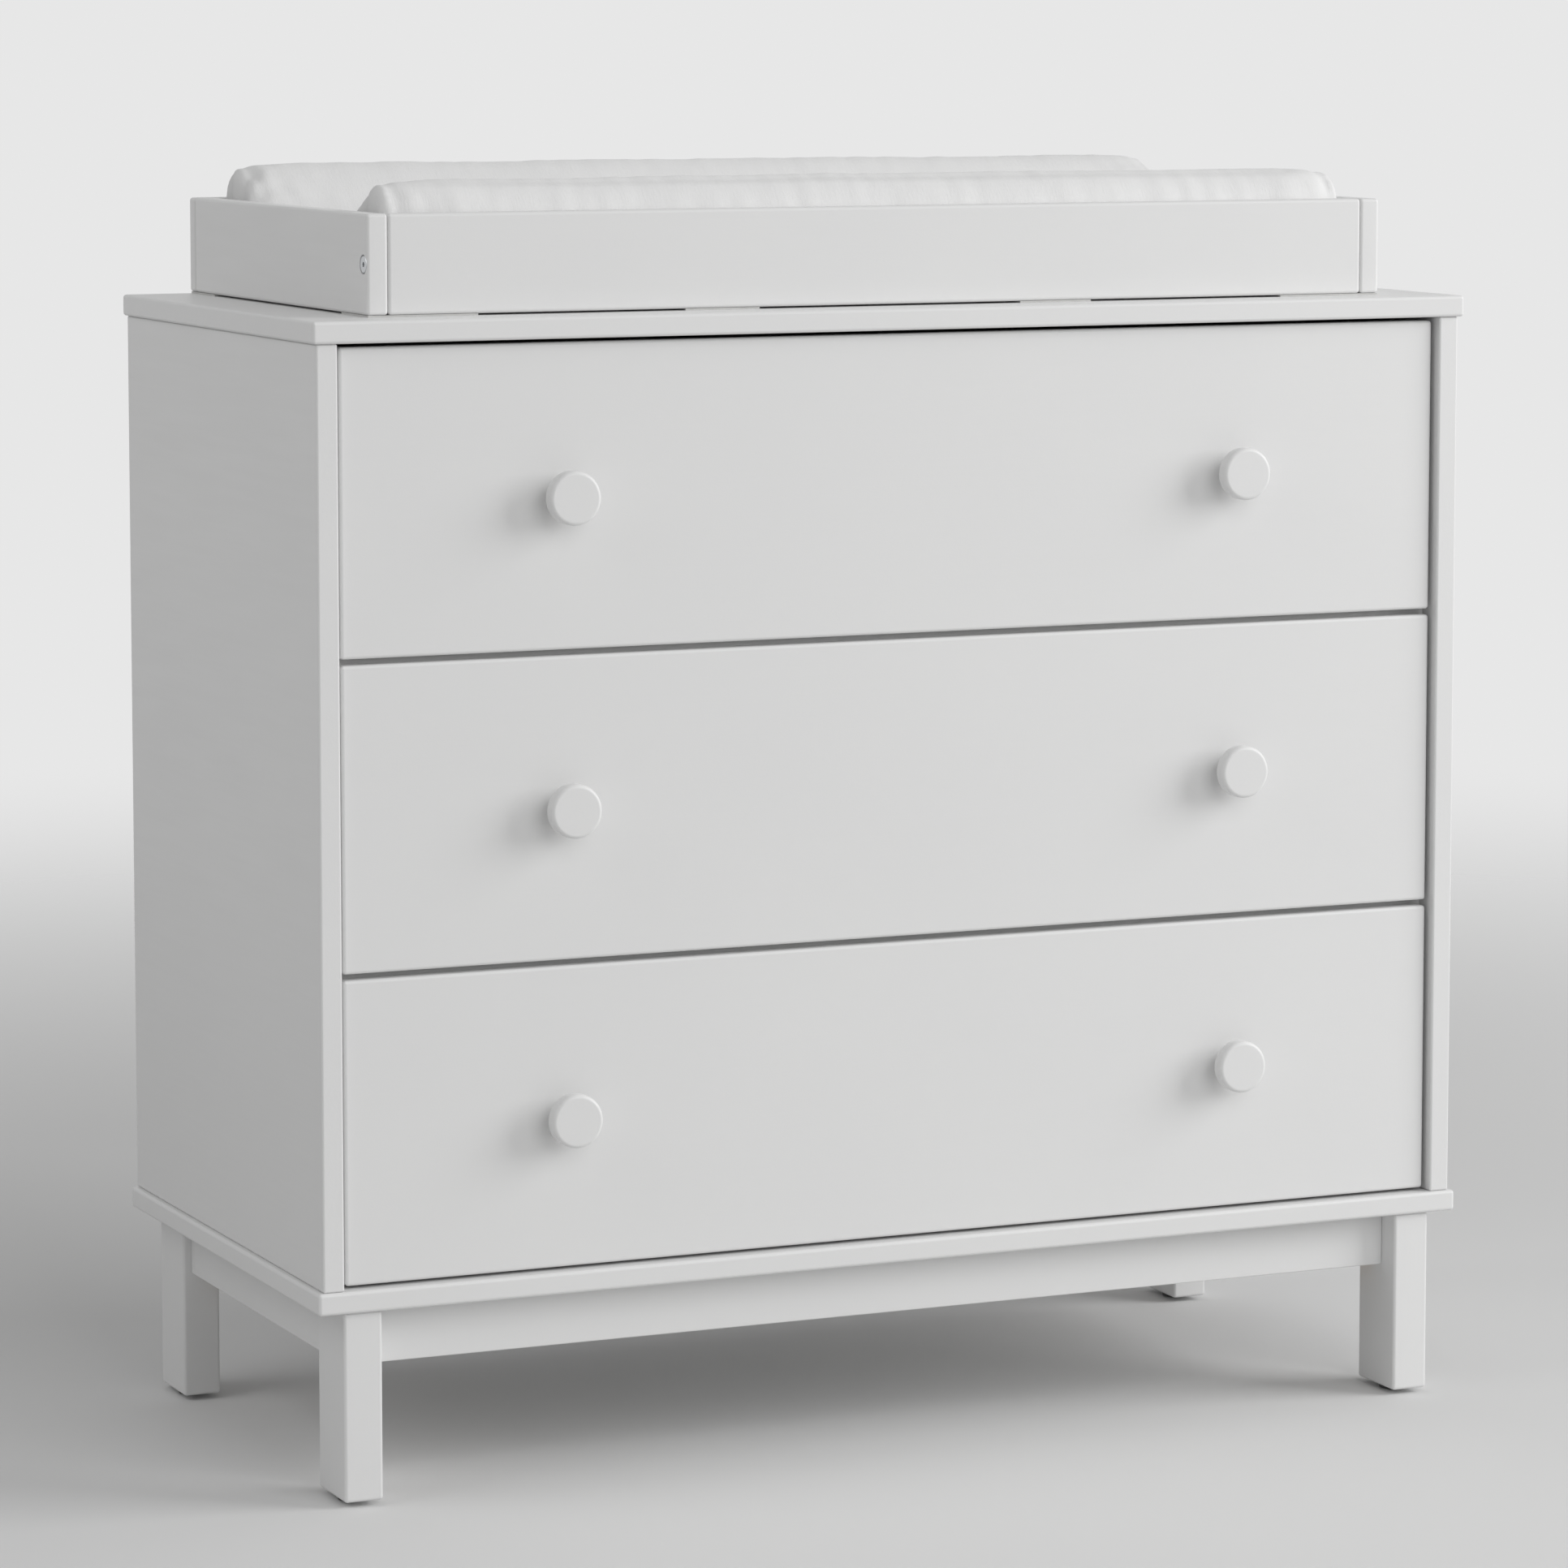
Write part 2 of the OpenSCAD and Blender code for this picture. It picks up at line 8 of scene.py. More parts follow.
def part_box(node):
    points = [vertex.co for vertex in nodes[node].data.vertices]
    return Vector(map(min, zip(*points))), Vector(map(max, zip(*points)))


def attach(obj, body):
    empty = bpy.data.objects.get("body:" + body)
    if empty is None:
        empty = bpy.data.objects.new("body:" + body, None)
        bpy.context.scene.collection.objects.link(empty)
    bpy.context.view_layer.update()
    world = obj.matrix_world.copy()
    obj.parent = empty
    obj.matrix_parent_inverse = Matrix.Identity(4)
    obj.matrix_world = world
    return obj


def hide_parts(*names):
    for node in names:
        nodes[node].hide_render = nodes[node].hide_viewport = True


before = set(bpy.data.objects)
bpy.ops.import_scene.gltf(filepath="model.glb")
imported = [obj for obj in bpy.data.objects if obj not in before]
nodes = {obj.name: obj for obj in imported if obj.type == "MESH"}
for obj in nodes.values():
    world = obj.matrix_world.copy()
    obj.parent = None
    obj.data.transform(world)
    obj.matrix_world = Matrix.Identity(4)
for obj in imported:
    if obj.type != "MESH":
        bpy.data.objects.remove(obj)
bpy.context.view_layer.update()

# ---- Viewpoint ----
# A long lens from the left front, a little above the dresser's top and tilted down slightly,
# so that the upright edges stay almost parallel.
view_place = (-2.100, -4.679, 1.207)
view_turn = -24.067
view_tilt = 5.978
sensor_width = 36
focal_length = 137.35
upward_shift = -0.1
far_limit = 200
camera = bpy.data.objects.new("camera", bpy.data.cameras.new("camera"))
bpy.context.collection.objects.link(camera)
bpy.context.scene.camera = camera
camera.location = view_place
camera.rotation_euler = (math.radians(90 - view_tilt), 0, math.radians(view_turn))
camera.data.sensor_width = sensor_width
camera.data.lens = focal_length
camera.data.shift_y = upward_shift
camera.data.clip_end = far_limit

# ---- Legs ----
# Four rectangular legs of solid wood under the bottom board. Each is planed square, its edges eased
# by hand, and sprayed with satin white paint before the base is glued up.
leg_edge = 0.0028
edge_segments = 4
paint_colour = (0.79, 0.79, 0.785, 1)
paint_shade = (0.765, 0.765, 0.765, 1)
paint_satin = (0.36, 0.46)
paint_specular = 0.45
cloud_scale = 5.0
grain_scale = 260.0
grain_stretch = 30
grain_depth = 0.00004
peel_scale = 700.0
peel_depth = 0.00003
noise_low = 0.3
noise_high = 0.7
corner_angle = 40
flat_weight = 100


def new_material(name):
    """An empty node material: its tree, its shader, and the object's own coordinates."""
    material = bpy.data.materials.new(name)
    material.use_nodes = True
    tree = material.node_tree
    shader = tree.nodes["Principled BSDF"]
    place = tree.nodes.new("ShaderNodeTexCoord").outputs["Object"]
    return material, tree, shader, place


def stretched_noise(tree, place, scale, stretch=(1, 1, 1), detail=3.0):
    """Noise of a scale per metre, stretched by dividing its scale along each axis."""
    mapping = tree.nodes.new("ShaderNodeMapping")
    mapping.inputs["Scale"].default_value = [1 / s for s in stretch]
    pattern = tree.nodes.new("ShaderNodeTexNoise")
    pattern.inputs["Scale"].default_value = scale
    pattern.inputs["Detail"].default_value = detail
    tree.links.new(place, mapping.inputs["Vector"])
    tree.links.new(mapping.outputs["Vector"], pattern.inputs["Vector"])
    return pattern.outputs["Fac"]


def blend_colours(tree, factor, first, second):
    """Two colours mixed by a pattern."""
    mix = tree.nodes.new("ShaderNodeMix")
    mix.data_type = "RGBA"
    mix.inputs[6].default_value = first
    mix.inputs[7].default_value = second
    tree.links.new(factor, mix.inputs[0])
    return mix.outputs[2]


def spread(tree, factor, low, high):
    """A pattern's values, spread from low to high."""
    scale = tree.nodes.new("ShaderNodeMapRange")
    scale.inputs["From Min"].default_value = noise_low
    scale.inputs["From Max"].default_value = noise_high
    scale.inputs["To Min"].default_value = low
    scale.inputs["To Max"].default_value = high
    tree.links.new(factor, scale.inputs["Value"])
    return scale.outputs["Result"]


def add_bump(tree, shader, height, depth):
    """Bump of a depth in metres, over any bump that the shader has already."""
    bump = tree.nodes.new("ShaderNodeBump")
    bump.inputs["Distance"].default_value = depth
    bump.inputs["Strength"].default_value = 1.0
    tree.links.new(height, bump.inputs["Height"])
    if shader.inputs["Normal"].is_linked:
        tree.links.new(shader.inputs["Normal"].links[0].from_socket, bump.inputs["Normal"])
    tree.links.new(bump.outputs["Normal"], shader.inputs["Normal"])


def satin_paint(name, grain):
    """White sprayed paint: a faint cloudiness, fine orange peel, and the grain just showing through."""
    material, tree, shader, place = new_material(name)
    clouds = stretched_noise(tree, place, cloud_scale, detail=4.0)
    tree.links.new(blend_colours(tree, clouds, paint_shade, paint_colour), shader.inputs["Base Color"])
    streaks = stretched_noise(tree, place, grain_scale, stretch=grain, detail=5.0)
    tree.links.new(spread(tree, streaks, *paint_satin), shader.inputs["Roughness"])
    add_bump(tree, shader, stretched_noise(tree, place, peel_scale, detail=2.0), peel_depth)
    add_bump(tree, shader, streaks, grain_depth)
    shader.inputs["Specular IOR Level"].default_value = paint_specular
    return material


def smooth_shading(piece):
    """Round edges shade smoothly, and flat faces stay flat."""
    for face in piece.data.polygons:
        face.use_smooth = True
    piece.data.set_sharp_from_angle(angle=math.radians(corner_angle))
    weighting = piece.modifiers.new("flat faces", "WEIGHTED_NORMAL")
    weighting.keep_sharp = True
    weighting.weight = flat_weight


def add_piece(name, bm, body, material, slot, *replaced):
    """The finished piece, riding on its body in place of the nodes that it stands for."""
    mesh = bpy.data.meshes.new(name)
    bmesh.ops.recalc_face_normals(bm, faces=bm.faces)
    bm.to_mesh(mesh)
    bm.free()
    mesh.materials.append(material)
    piece = bpy.data.objects.new(name, mesh)
    bpy.context.collection.objects.link(piece)
    smooth_shading(piece)
    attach(piece, body)
    if replaced:
        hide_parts(*replaced)
    return piece


def add_board(bm, low, high, edge):
    """A square board between two corners, with eased edges."""
    made = bmesh.ops.create_cube(bm, size=1.0)["verts"]
    bmesh.ops.scale(bm, vec=high - low, verts=made)
    bmesh.ops.translate(bm, vec=(low + high) / 2, verts=made)
    edges = list({e for v in made for e in v.link_edges})
    bmesh.ops.bevel(bm, geom=edges, offset=edge, segments=edge_segments, profile=0.5,
                    affect="EDGES", material=-1)


def painted_board(node, body, edge, material):
    """One board in place of its node, of the same size."""
    bm = bmesh.new()
    add_board(bm, *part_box(node), edge)
    return add_piece(node + "_board", bm, body, material, "white_paint", node)


paint_upright = satin_paint("satin white paint, upright grain", (1, 1, grain_stretch))
for node in ("leg_front_left", "leg_front_right", "leg_rear_left", "leg_rear_right"):
    painted_board(node, "case", leg_edge, paint_upright)

# ---- Aprons ----
# Four boards on edge between the legs, tenoned into them and flush under the bottom board. They are
# set back from the legs' faces, and painted with them.
apron_edge = 0.0012
paint_wide = satin_paint("satin white paint, wide grain", (grain_stretch, 1, 1))
paint_deep = satin_paint("satin white paint, deep grain", (1, grain_stretch, 1))
for node, paint in (("apron_front", paint_wide), ("apron_rear", paint_wide),
                    ("apron_left", paint_deep), ("apron_right", paint_deep)):
    painted_board(node, "case", apron_edge, paint)

# ---- Corner blocks ----
# Four blocks of bare pine, glued into the corners of the base behind the legs. They hold the aprons
# square and can be seen only from below.
pine_early = (0.72, 0.55, 0.36, 1)
pine_late = (0.55, 0.37, 0.2, 1)
pine_grain = (1, 1, 12)
pine_roughness = 0.7
pine_rings = 110.0
ring_depth = 0.00008
pore_scale = 1500.0
pore_depth = 0.00003
pore_sheen = 0.06


def bare_wood(name, early, late, grain, roughness, ring_scale):
    """Bare sanded wood: wavy growth lines along the grain, and fine pores."""
    material, tree, shader, place = new_material(name)
    rings = stretched_noise(tree, place, ring_scale, stretch=grain, detail=3.0)
    pores = stretched_noise(tree, place, pore_scale, stretch=grain, detail=2.0)
    tone = blend_colours(tree, spread(tree, rings, 0.0, 1.0), early, late)
    tree.links.new(tone, shader.inputs["Base Color"])
    sheen = spread(tree, pores, roughness - pore_sheen, roughness + pore_sheen)
    tree.links.new(sheen, shader.inputs["Roughness"])
    add_bump(tree, shader, rings, ring_depth)
    add_bump(tree, shader, pores, pore_depth)
    return material


def dress(node, material):
    """Gives a kept node its material in every slot."""
    mesh = nodes[node].data
    mesh.materials.clear()
    mesh.materials.append(material)


pine = bare_wood("bare pine", pine_early, pine_late, pine_grain, pine_roughness, pine_rings)
dress("corner_blocks", pine)

# ---- Leg glides ----
# A round nylon glide is nailed under each leg, so that the end grain stays clear of the floor. It is
# moulded in dark grey, with a matt face.
glide_colour = (0.045, 0.045, 0.05, 1)
glide_rub = (0.09, 0.09, 0.09, 1)
glide_roughness = 0.55
rub_scale = 120.0
rub_sheen = 0.08
mould_scale = 2500.0
mould_depth = 0.00004


def moulded_plastic(name, first, second, roughness):
    """Moulded plastic with a fine matt grain and lighter rubbed patches."""
    material, tree, shader, place = new_material(name)
    patches = stretched_noise(tree, place, rub_scale, detail=4.0)
    grain = stretched_noise(tree, place, mould_scale, detail=2.0)
    tree.links.new(blend_colours(tree, patches, first, second), shader.inputs["Base Color"])
    sheen = spread(tree, patches, roughness - rub_sheen, roughness + rub_sheen)
    tree.links.new(sheen, shader.inputs["Roughness"])
    add_bump(tree, shader, grain, mould_depth)
    return material


dress("leg_glides", moulded_plastic("dark nylon", glide_colour, glide_rub, glide_roughness))

# ---- Bottom board ----
# The case stands on this board, which overhangs the side panels a little and shows its rounded front
# and side edges. It is a painted panel of fibreboard.
bottom_edge = 0.003
painted_board("bottom_board", "case", bottom_edge, paint_wide)

# ---- Leg bolts ----
# One zinc-plated bolt through the bottom board into each leg, turned with a hexagon key from inside
# the case. Its low round head lies under the lowest drawer.
zinc_bright = (0.62, 0.63, 0.64, 1)
zinc_dull = (0.44, 0.46, 0.48, 1)
zinc_roughness = 0.34
crystal_scale = 420.0
crystal_polish = 0.06
crystal_dullness = 0.1
line_scale = 1800.0
line_depth = 0.00001
bolt_head_radius = 0.0075
bolt_head_height = 0.0025
bolt_radius = 0.003
socket_radius = 0.0026
socket_depth_share = 0.7
crown_share = 0.12
head_segments = 32
shank_segments = 16


def plated_steel(name, bright, dull, roughness, brushed=(1, 1, 1)):
    """Zinc-plated steel: cloudy crystals in the plating and fine drawing lines."""
    material, tree, shader, place = new_material(name)
    crystals = stretched_noise(tree, place, crystal_scale, detail=3.0)
    lines = stretched_noise(tree, place, line_scale, stretch=brushed, detail=2.0)
    tree.links.new(blend_colours(tree, crystals, dull, bright), shader.inputs["Base Color"])
    sheen = spread(tree, crystals, roughness - crystal_polish, roughness + crystal_dullness)
    tree.links.new(sheen, shader.inputs["Roughness"])
    add_bump(tree, shader, lines, line_depth)
    shader.inputs["Metallic"].default_value = 1.0
    return material


def add_socket_screw(bm, seat, out, head_radius, head_height, shank_radius, shank_length, key_radius):
    """A low round head with a hexagon socket, and the shank behind it. out is away from the seat."""
    ring = bmesh.ops.create_circle(bm, segments=head_segments, radius=head_radius, cap_ends=False)["verts"]
    socket = bmesh.ops.create_circle(bm, segments=6, radius=key_radius, cap_ends=False)["verts"]
    made = set(ring) | set(socket)
    rim_edges = list({e for v in ring for e in v.link_edges})
    socket_edges = list({e for v in socket for e in v.link_edges})
    top = bmesh.ops.triangle_fill(bm, edges=rim_edges + socket_edges, use_beauty=True)["geom"]
    made |= {v for g in top if isinstance(g, bmesh.types.BMFace) for v in g.verts}
    walls = bmesh.ops.extrude_edge_only(bm, edges=socket_edges)["geom"]
    deep = [g for g in walls if isinstance(g, bmesh.types.BMVert)]
    bmesh.ops.translate(bm, vec=(0, 0, -socket_depth_share * head_height), verts=deep)
    bmesh.ops.contextual_create(bm, geom=deep)
    sides = bmesh.ops.extrude_edge_only(bm, edges=rim_edges)["geom"]
    skirt = [g for g in sides if isinstance(g, bmesh.types.BMVert)]
    crown = crown_share * head_radius
    bmesh.ops.translate(bm, vec=(0, 0, -crown), verts=skirt)
    bmesh.ops.scale(bm, vec=((head_radius + crown) / head_radius,) * 2 + (1,), verts=skirt)
    skirt_edges = [g for g in sides if isinstance(g, bmesh.types.BMEdge)
                   and all(v in skirt for v in g.verts)]
    lower = bmesh.ops.extrude_edge_only(bm, edges=skirt_edges)["geom"]
    foot = [g for g in lower if isinstance(g, bmesh.types.BMVert)]
    bmesh.ops.translate(bm, vec=(0, 0, crown - head_height), verts=foot)
    bmesh.ops.contextual_create(bm, geom=foot)
    made |= set(deep) | set(skirt) | set(foot)
    bmesh.ops.scale(bm, vec=(head_radius / (head_radius + crown),) * 2 + (1,), verts=list(made))
    shank = bmesh.ops.create_cone(bm, cap_ends=True, segments=shank_segments, radius1=shank_radius,
                                  radius2=shank_radius, depth=shank_length)["verts"]
    bmesh.ops.translate(bm, vec=(0, 0, -head_height - shank_length / 2), verts=shank)
    made |= set(shank)
    turn = Vector((0, 0, 1)).rotation_difference(out).to_matrix().to_4x4()
    bmesh.ops.transform(bm, matrix=Matrix.Translation(seat + out * head_height) @ turn, verts=list(made))


zinc = plated_steel("zinc-plated steel", zinc_bright, zinc_dull, zinc_roughness)
bolt_low, bolt_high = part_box("leg_bolts")
bm = bmesh.new()
for x in (bolt_low.x + bolt_head_radius, bolt_high.x - bolt_head_radius):
    for y in (bolt_low.y + bolt_head_radius, bolt_high.y - bolt_head_radius):
        add_socket_screw(bm, Vector((x, y, bolt_high.z - bolt_head_height)), Vector((0, 0, 1)),
                         bolt_head_radius, bolt_head_height, bolt_radius,
                         bolt_high.z - bolt_low.z - bolt_head_height, socket_radius)
add_piece("leg_bolts_socket_head", bm, "case", zinc, "zinc_steel", "leg_bolts")

# ---- Side panels ----
# Two upright fibreboard panels, grooved for the back and painted inside and out. Their front edges
# are lightly rounded and stand proud of the drawer fronts.
side_edge = 0.0018
for node in ("side_panel_left", "side_panel_right"):
    painted_board(node, "case", side_edge, paint_deep)

# ---- Cam fittings ----
# Round zinc cam locks in the side panels and rails, each gripping a bolt from the next board. A turn
# of the lock draws the joint tight.
cast_bright = (0.5, 0.5, 0.51, 1)
cast_dull = (0.36, 0.37, 0.39, 1)
cast_roughness = 0.42
dress("cam_fittings", plated_steel("cast zinc", cast_bright, cast_dull, cast_roughness))

# ---- Divider rails ----
# Two rails across the case behind the gaps between the drawer fronts. They keep the long side panels
# from bowing, and are painted like the case.
dress("divider_rails", paint_wide)

# ---- Back panel ----
# A thin hardboard sheet with white foil on it, slid into grooves in the side panels. Its face has the
# faint pressed texture of the foil.
foil_white = (0.78, 0.78, 0.77, 1)
foil_grey = (0.72, 0.72, 0.71, 1)
foil_sheen = (0.5, 0.62)
mottle_scale = 14.0
screen_scale = 900.0
screen_depth = 0.00006


def foil(name):
    """White foil on hardboard: faint mottling over a fine pressed screen."""
    material, tree, shader, place = new_material(name)
    mottle = stretched_noise(tree, place, mottle_scale, detail=5.0)
    screen = stretched_noise(tree, place, screen_scale, detail=1.0)
    tree.links.new(blend_colours(tree, mottle, foil_grey, foil_white), shader.inputs["Base Color"])
    tree.links.new(spread(tree, mottle, *foil_sheen), shader.inputs["Roughness"])
    add_bump(tree, shader, screen, screen_depth)
    return material


white_foil = foil("white foil")
dress("back_panel", white_foil)

# ---- Top board ----
# The dresser's top overhangs the case at the front and sides by a few millimetres. It is painted
# fibreboard with softly rounded edges.
top_edge = 0.0028
painted_board("top_board", "case", top_edge, paint_wide)

# ---- Drawer slides ----
# Telescopic slides of zinc-plated sheet steel in three nested channels: one screwed to the case, one
# between, and one screwed to the drawer box.
rolled_bright = (0.66, 0.67, 0.68, 1)
rolled_dull = (0.5, 0.52, 0.54, 1)
rolled_roughness = 0.3
rolled_lines = (1, 40, 1)
rolled_steel = plated_steel("rolled zinc-plated steel", rolled_bright, rolled_dull, rolled_roughness,
                            rolled_lines)
dress("cabinet_slides", rolled_steel)
levels = ("top", "middle", "bottom")
for level in levels:
    dress(level + "_middle_slides", rolled_steel)
    dress(level + "_drawer_slides", rolled_steel)

# ---- Drawer boxes ----
# Sides and back of sanded, sealed poplar with eased edges, grooved near the bottom for a white
# hardboard panel, and glued and pinned behind the front.
box_edge = 0.0015
poplar_pale = (0.70, 0.60, 0.45, 1)
poplar_dark = (0.60, 0.48, 0.33, 1)
poplar_stretch = 14
poplar_roughness = 0.5
poplar_rings = 90.0
poplar_deep = bare_wood("sealed poplar, sides", poplar_pale, poplar_dark, (1, poplar_stretch, 1),
                        poplar_roughness, poplar_rings)
poplar_wide = bare_wood("sealed poplar, backs", poplar_pale, poplar_dark, (poplar_stretch, 1, 1),
                        poplar_roughness, poplar_rings)
for level in levels:
    for part, wood in (("left_side", poplar_deep), ("right_side", poplar_deep), ("back", poplar_wide)):
        node = f"{level}_drawer_{part}"
        bm = bmesh.new()
        add_board(bm, *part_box(node), box_edge)
        add_piece(node + "_board", bm, level + "_drawer", wood, "drawer_wood", node)
    dress(level + "_drawer_bottom", white_foil)

# ---- Drawer fronts ----
# Three equal slab fronts of painted fibreboard, set back a little between the side panels, with soft
# rounded edges on all sides.
front_edge = 0.0028
for level in levels:
    painted_board(level + "_drawer_front", level + "_drawer", front_edge, paint_wide)

# ---- Knobs ----
# Two turned wooden knobs on each front: a thick flat disc with a rounded rim, on a short neck, and
# painted like the fronts.
knob_radius = 0.022
neck_radius = 0.010
rim_radius = 0.0032
back_rim_radius = 0.0012
neck_cove = 0.003
disc_depth = 0.012
face_ring = 0.011
turning_steps = 64
merge_distance = 0.00002


def arc(centre, radius, start, end, steps):
    """Points of an arc, by angle in degrees, as (distance out, distance from the axis)."""
    angles = [math.radians(start + (end - start) * k / steps) for k in range(steps + 1)]
    return [(centre[0] + radius * math.cos(a), centre[1] + radius * math.sin(a)) for a in angles]


def add_turned(bm, foot, outline):
    """A turned shape from an outline, on an axis that points out of the drawer front."""
    verts = [bm.verts.new((foot.x, foot.y - out, foot.z + radius)) for out, radius in outline]
    edges = [bm.edges.new(pair) for pair in zip(verts, verts[1:])]
    bmesh.ops.spin(bm, geom=verts + edges, cent=foot, axis=(0, 1, 0), dvec=(0, 0, 0),
                   angle=2 * math.pi, steps=turning_steps, use_merge=True)


knob_paint = satin_paint("satin white paint, turned", (1, 1, 1))
for level in levels:
    low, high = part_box(level + "_drawer_knobs")
    reach = high.y - low.y
    back = reach - disc_depth
    outline = [(0.0, 0.0), (0.0, neck_radius)]
    outline += arc((back - neck_cove, neck_radius + neck_cove), neck_cove, 270, 360, 5)
    outline += arc((back + back_rim_radius, knob_radius - back_rim_radius), back_rim_radius, 180, 90, 4)
    outline += arc((reach - rim_radius, knob_radius - rim_radius), rim_radius, 90, 0, 8)
    outline += [(reach, face_ring), (reach, 0.0)]
    bm = bmesh.new()
    for x in (low.x + knob_radius, high.x - knob_radius):
        add_turned(bm, Vector((x, high.y, (low.z + high.z) / 2)), outline)
    bmesh.ops.remove_doubles(bm, verts=bm.verts, dist=merge_distance)
    add_piece(level + "_drawer_knobs_turned", bm, level + "_drawer", knob_paint, "white_paint",
              level + "_drawer_knobs")
    dress(level + "_drawer_knob_screws", zinc)

# ---- Topper frame ----
# The changing tray's four painted boards: two sides, a front rail between them, and a back rail
# across their rear ends. The bolts' heads lie in round seats.
tray_edge = 0.0028
seat_radius = 0.008
seat_depth = 0.0028
bolt_set = 0.009
seat_segments = 48


def cut_seats(piece, centres, axis):
    """Bores round seats into a board's face at each centre, along an axis that points out of the board."""
    bm = bmesh.new()
    for centre in centres:
        made = bmesh.ops.create_cone(bm, cap_ends=True, segments=seat_segments, radius1=seat_radius,
                                     radius2=seat_radius, depth=2 * seat_depth)["verts"]
        turn = Vector((0, 0, 1)).rotation_difference(axis).to_matrix().to_4x4()
        bmesh.ops.transform(bm, matrix=Matrix.Translation(centre) @ turn, verts=made)
    mesh = bpy.data.meshes.new("seat cutter")
    bm.to_mesh(mesh)
    bm.free()
    cutter = bpy.data.objects.new("seat cutter", mesh)
    bpy.context.collection.objects.link(cutter)
    piece.modifiers.clear()
    boring = piece.modifiers.new("seats", "BOOLEAN")
    boring.operation = "DIFFERENCE"
    boring.solver = "EXACT"
    boring.object = cutter
    bored = bpy.data.meshes.new_from_object(piece.evaluated_get(bpy.context.evaluated_depsgraph_get()))
    piece.modifiers.clear()
    piece.data = bored
    bpy.data.objects.remove(cutter)
    smooth_shading(piece)


tray_left = painted_board("topper_left_side", "topper", tray_edge, paint_deep)
tray_right = painted_board("topper_right_side", "topper", tray_edge, paint_deep)
painted_board("topper_front_rail", "topper", tray_edge, paint_wide)
tray_back = painted_board("topper_back_rail", "topper", tray_edge, paint_wide)
side_low, side_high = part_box("topper_left_side")
right_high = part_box("topper_right_side")[1]
rail_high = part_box("topper_back_rail")[1]
bolt_z = (side_low.z + side_high.z) / 2
bolt_y = side_low.y + bolt_set
left_seat = Vector((side_low.x, bolt_y, bolt_z))
right_seat = Vector((right_high.x, bolt_y, bolt_z))
rear_seats = [Vector((x, rail_high.y, bolt_z)) for x in (side_low.x + bolt_set, right_high.x - bolt_set)]
left, right, rear = Vector((-1, 0, 0)), Vector((1, 0, 0)), Vector((0, 1, 0))
cut_seats(tray_left, [left_seat], left)
cut_seats(tray_right, [right_seat], right)
cut_seats(tray_back, rear_seats, rear)

# ---- Topper slats and corner blocks ----
# Two slats across the tray and a block in each corner carry the pad. They are painted boards, glued
# and pinned to the frame's lower edge.
dress("topper_slats", paint_deep)
dress("topper_corner_blocks", paint_wide)

# ---- Topper bolts ----
# Four zinc-plated bolts with low round heads and hexagon sockets draw the tray's corners together,
# each into a round barrel nut.
frame_bolt_length = 0.062
seat_clearance = 0.0002
bm = bmesh.new()
for seat, out in ((left_seat, left), (right_seat, right), (rear_seats[0], rear), (rear_seats[1], rear)):
    add_socket_screw(bm, seat - out * seat_depth, out, bolt_head_radius - seat_clearance,
                     bolt_head_height, bolt_radius, frame_bolt_length - seat_depth, socket_radius)
add_piece("topper_bolts_socket_head", bm, "topper", zinc, "zinc_steel", "topper_bolts")
dress("topper_barrel_nuts", zinc)

# ---- Topper feet ----
# Thin pads of pale foam rubber stuck under the tray's corners and slats, which keep it from sliding
# on the painted top and hold it just clear.
rubber_pale = (0.60, 0.60, 0.585, 1)
rubber_grey = (0.50, 0.50, 0.49, 1)
rubber_roughness = 0.8
dress("topper_feet", moulded_plastic("pale foam rubber", rubber_pale, rubber_grey, rubber_roughness))

# ---- Fixing plates and their screws ----
# Two flat steel plates behind the tray. Each is screwed to the back rail and drops with an open slot
# over a screw in the top board's rear edge.
plate_screw_radius = 0.002
plate_head_radius = 0.0045
plate_head_height = 0.0025
plate_key_radius = 0.0017
plate_roughness = 0.36
plate_lines = (1, 1, 30)
sheet = plated_steel("zinc-plated sheet", zinc_bright, zinc_dull, plate_roughness, plate_lines)
dress("fixing_plates", sheet)


def rear_screws(name, node, body, heights):
    """Screws with their heads behind the tray, at each end of their node's box and at each height."""
    low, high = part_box(node)
    length = high.y - low.y - plate_head_height
    bm = bmesh.new()
    for x in (low.x + plate_head_radius, high.x - plate_head_radius):
        for z in heights(low, high):
            add_socket_screw(bm, Vector((x, high.y - plate_head_height, z)), rear, plate_head_radius,
                             plate_head_height, plate_screw_radius, length, plate_key_radius)
    add_piece(name, bm, body, zinc, "zinc_steel", node)


rear_screws("fixing_plate_screws_socket_head", "fixing_plate_screws", "topper",
            lambda low, high: (low.z + plate_head_radius, high.z - plate_head_radius))
rear_screws("topper_screws_socket_head", "topper_screws", "case", lambda low, high: ((low.z + high.z) / 2,))

# ---- Changing pad ----
# A foam pad with raised long sides, in a fitted cover of soft white knitted fleece. The foam's corners
# are rounded, and the cover is sewn from a long panel and two end panels.
pad_low, pad_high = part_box("changing_pad")
pad_start = 0.0015
rear_lift = 0.005
crest_in = 0.024
side_width = 0.128
hollow_share = 0.46
outer_share = 0.62
end_round = 0.012
end_height_share = 0.88
corner_in = 0.007
underside_gap = 0.001
crest_steps = 8
slope_steps = 14
end_steps = 7
voxel = 0.005
swell_limit = 0.003
cloth_pressure = 4
cloth_quality = 5
cloth_frames = 20


def pad_height(distance):
    """The foam's height as a share of the whole, at a distance in from its long edge."""
    if distance < crest_in:
        return outer_share + (1 - outer_share) * math.sin(math.acos(1 - distance / crest_in))
    share = min((distance - crest_in) / (side_width - crest_in), 1.0)
    return hollow_share + (1 - hollow_share) * (1 + math.cos(math.pi * share)) / 2


